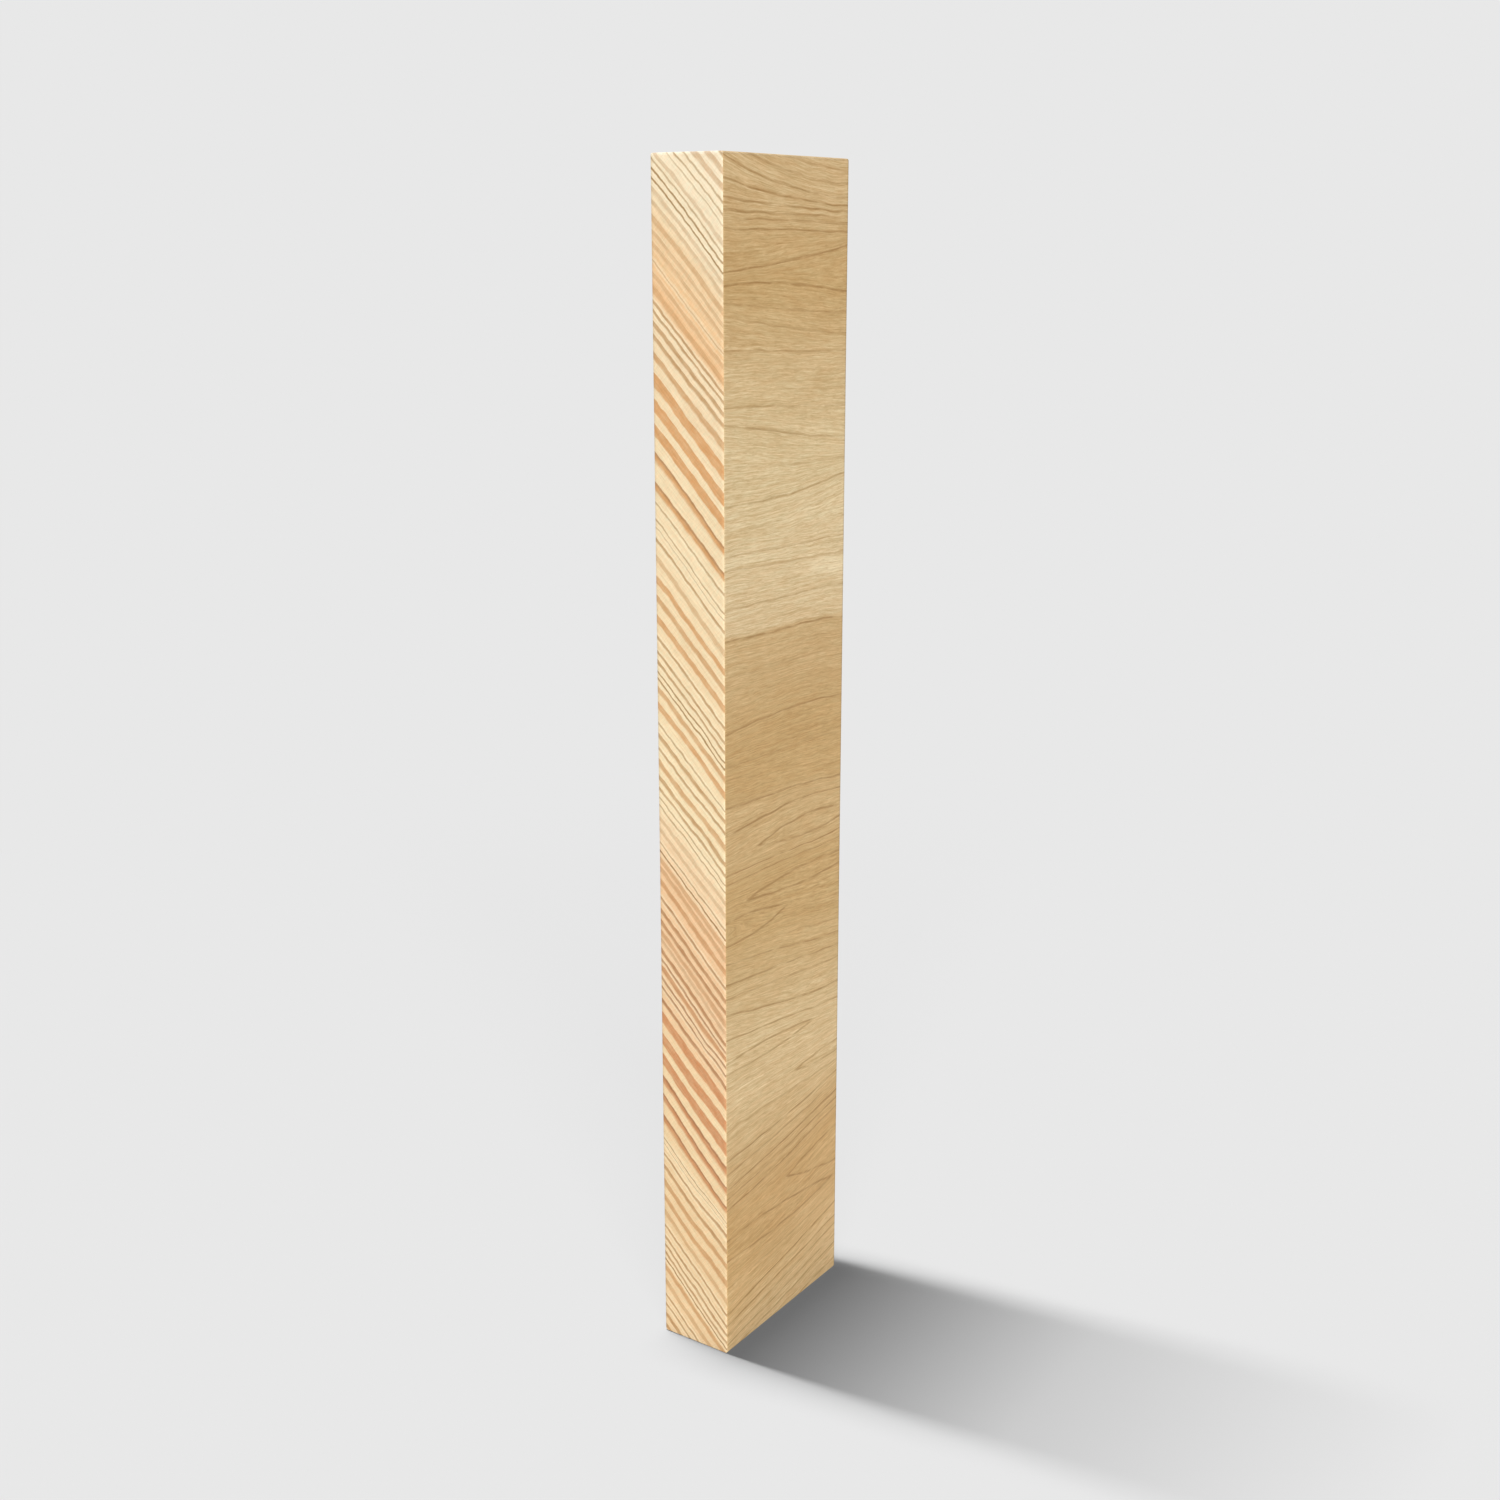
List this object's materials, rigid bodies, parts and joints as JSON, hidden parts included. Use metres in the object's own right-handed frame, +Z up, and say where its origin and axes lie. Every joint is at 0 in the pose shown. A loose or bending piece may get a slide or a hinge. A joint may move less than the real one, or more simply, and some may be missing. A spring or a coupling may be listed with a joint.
{
  "type": "square-edge timber moulding",
  "caption": "Short length of plain square-edge timber moulding: a dressed pine board standing on its edge, cut square at both ends, for trim at the foot of a wall.",
  "frame": {"origin": "middle of the underside, halfway along the cut length and halfway through the thickness", "axes": "+X along the run of the moulding, +Y from the show face towards the wall behind it, +Z up"},
  "size_m": [0.05, 0.019, 0.285],
  "materials": {
    "timber": "planed, bare"
  },
  "bodies": {
    "root": {"moulding": "timber"}
  },
  "joints": []
}
